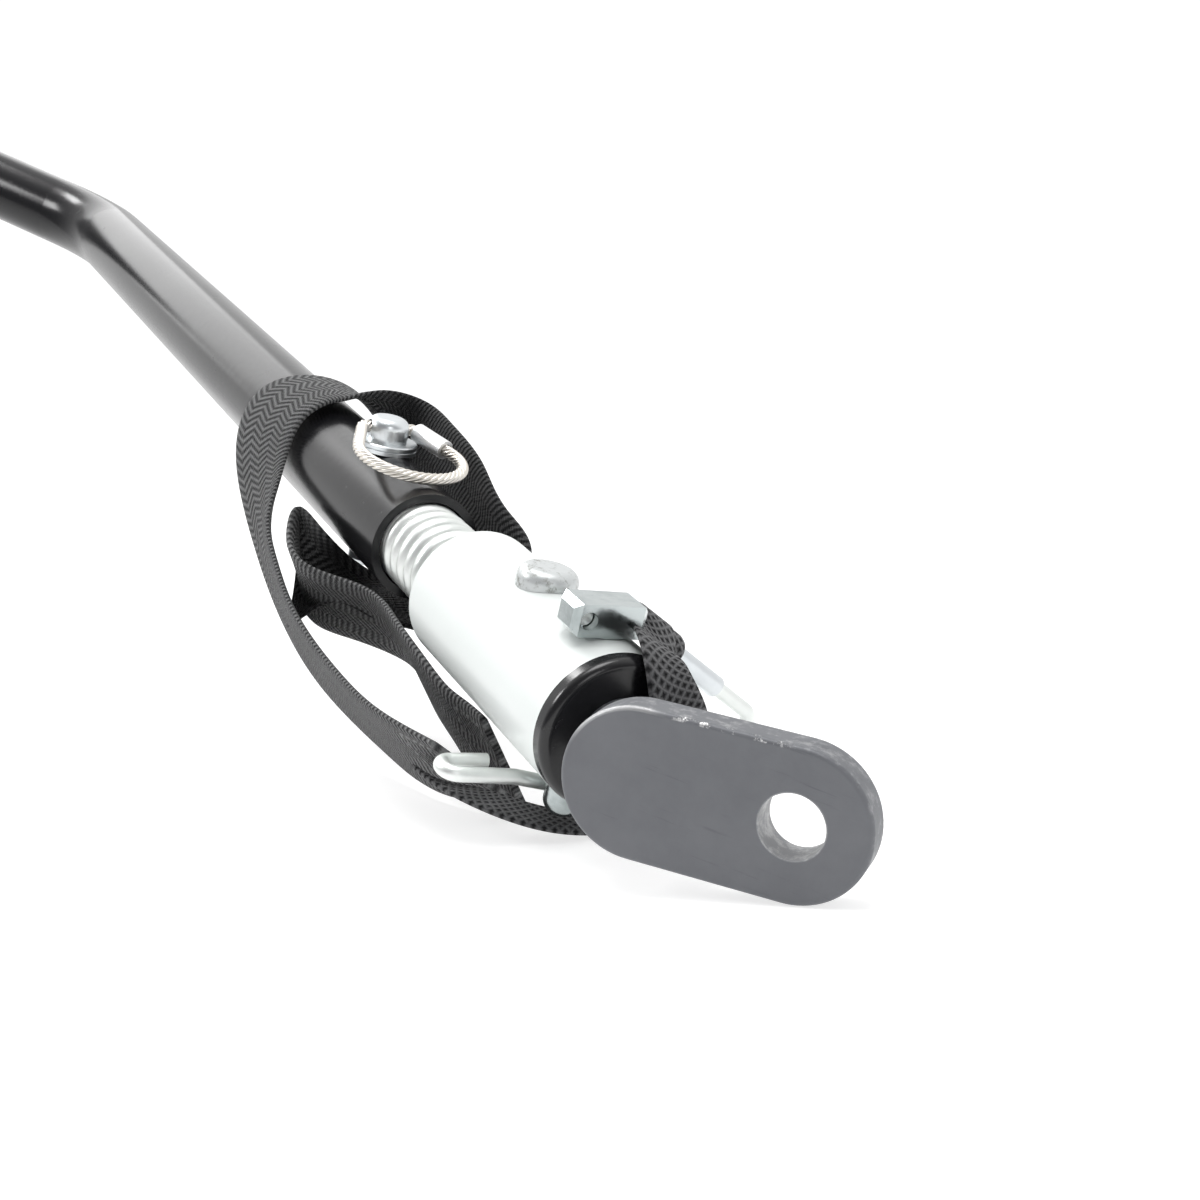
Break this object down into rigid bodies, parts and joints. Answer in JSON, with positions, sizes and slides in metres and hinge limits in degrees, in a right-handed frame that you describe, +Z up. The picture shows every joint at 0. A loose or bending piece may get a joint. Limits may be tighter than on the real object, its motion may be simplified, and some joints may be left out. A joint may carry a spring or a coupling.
{
  "type": "bike trailer hitch",
  "caption": "Bike trailer hitch: a bent drawbar tube with a coil-spring joint, a pinned coupler sleeve and a flat tongue that bolts on a rear axle, with safety strap and bail-locked pin.",
  "frame": {"origin": "centre of the axle hole, in the middle of the plate's thickness", "axes": "+X in the direction of travel, +Y to the left along the bicycle's axle, +Z up"},
  "size_m": [0.5717, 0.3468, 0.0736],
  "materials": {
    "forged_steel": "dark phosphated steel, satin, edges worn bright",
    "black_plastic": "moulded, glossy",
    "silver_paint": "pale silver paint, satin",
    "plain_steel": "turned",
    "zinc_plate": "bright zinc plating",
    "black_paint": "black powder coat, satin gloss",
    "wire_rope": "twisted steel strands",
    "webbing": "woven polyester webbing"
  },
  "bodies": {
    "drawbar": {"drawbar_tube": "black_paint", "rear_plug": "plain_steel", "lower_pin_washer": "zinc_plate", "upper_pin_washer": "zinc_plate"},
    "pin": {"drawbar_pin": "zinc_plate"},
    "ring": {"pull_ring": "wire_rope", "ring_ferrule": "zinc_plate"},
    "flex": {"coupling_spring": "zinc_plate", "safety_strap": "webbing"},
    "coupler": {"coupler_sleeve": "silver_paint", "front_bushing": "black_plastic", "front_plug": "plain_steel", "coupler_rivet": "zinc_plate", "axle_tongue": "forged_steel", "lock_pin": "zinc_plate", "lanyard_tape": "webbing"},
    "bail": {"lock_bail": "zinc_plate", "bail_sleeve": "zinc_plate"}
  },
  "joints": [
    {"name": "spring_yaw", "type": "hinge", "parent": "drawbar", "child": "flex", "pos_m": [-0.1066, 0.07421, -0.00475], "axis": [0, 0, 1], "range_deg": [-45, 45], "stiffness_Nm_per_rad": 10, "deforming": ["coupling_spring", "safety_strap"]},
    {"name": "spring_pitch", "type": "hinge", "parent": "flex", "child": "coupler", "pos_m": [-0.1066, 0.07421, -0.00475], "axis": [0.6481, 0.7615, 0], "range_deg": [-30, 30], "stiffness_Nm_per_rad": 10, "deforming": ["coupling_spring", "safety_strap"]},
    {"name": "drawbar_pin_pull", "type": "slide", "parent": "drawbar", "child": "pin", "axis": [0, 0, 1], "range_m": [0, 0.03]},
    {"name": "pull_ring_swing", "type": "hinge", "parent": "pin", "child": "ring", "pos_m": [-0.14505, 0.10694, 0.0139], "axis": [-0.6481, -0.7615, 0], "range_deg": [0, 95]},
    {"name": "bail_swing", "type": "hinge", "parent": "coupler", "child": "bail", "pos_m": [-0.05438, 0.02216, 0.01425], "axis": [0.7615, -0.6481, 0], "range_deg": [0, 100], "deforming": ["lanyard_tape"]}
  ]
}
